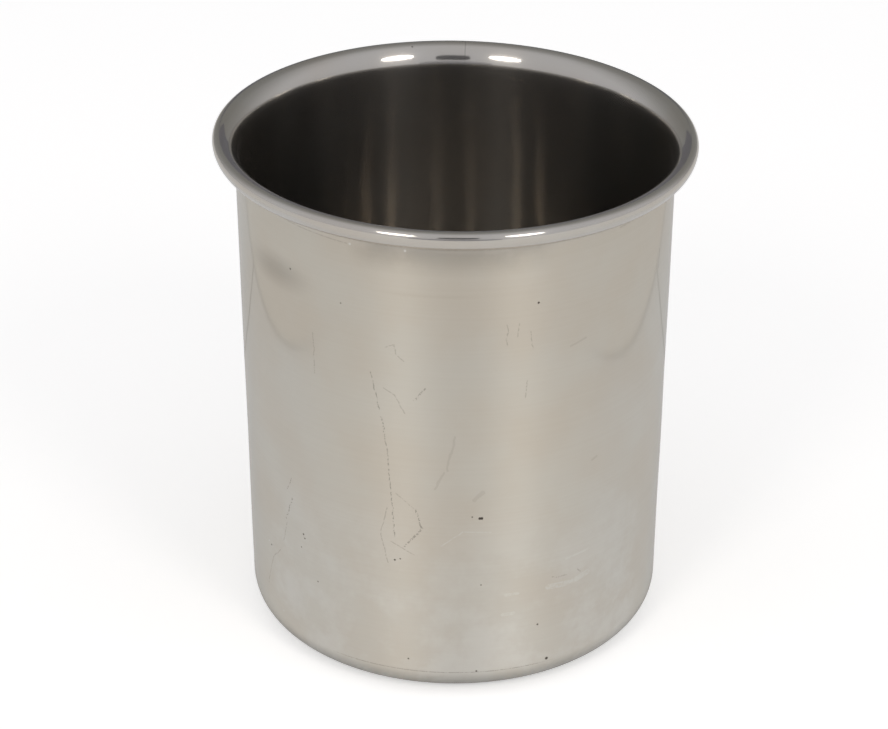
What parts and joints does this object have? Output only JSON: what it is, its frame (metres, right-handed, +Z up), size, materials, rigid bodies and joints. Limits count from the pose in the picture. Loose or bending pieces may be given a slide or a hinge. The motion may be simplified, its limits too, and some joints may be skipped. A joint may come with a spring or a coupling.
{
  "type": "deep drawn metal cup",
  "caption": "Tall round drawn steel cup with a slightly tapered wall, rounded corner at the flat floor, flared lip and curled edge; holds liquids, tools or small goods.",
  "frame": {"origin": "centre of the underside of the floor", "axes": "+Z up the axis of the cup, towards its open mouth"},
  "size_m": [0.1142, 0.1142, 0.1258],
  "materials": {
    "stainless_steel": "bright drawn stainless steel, worn, with fine scratches, pits and water stains"
  },
  "bodies": {
    "root": {"drawn_cup": "stainless_steel"}
  },
  "joints": []
}
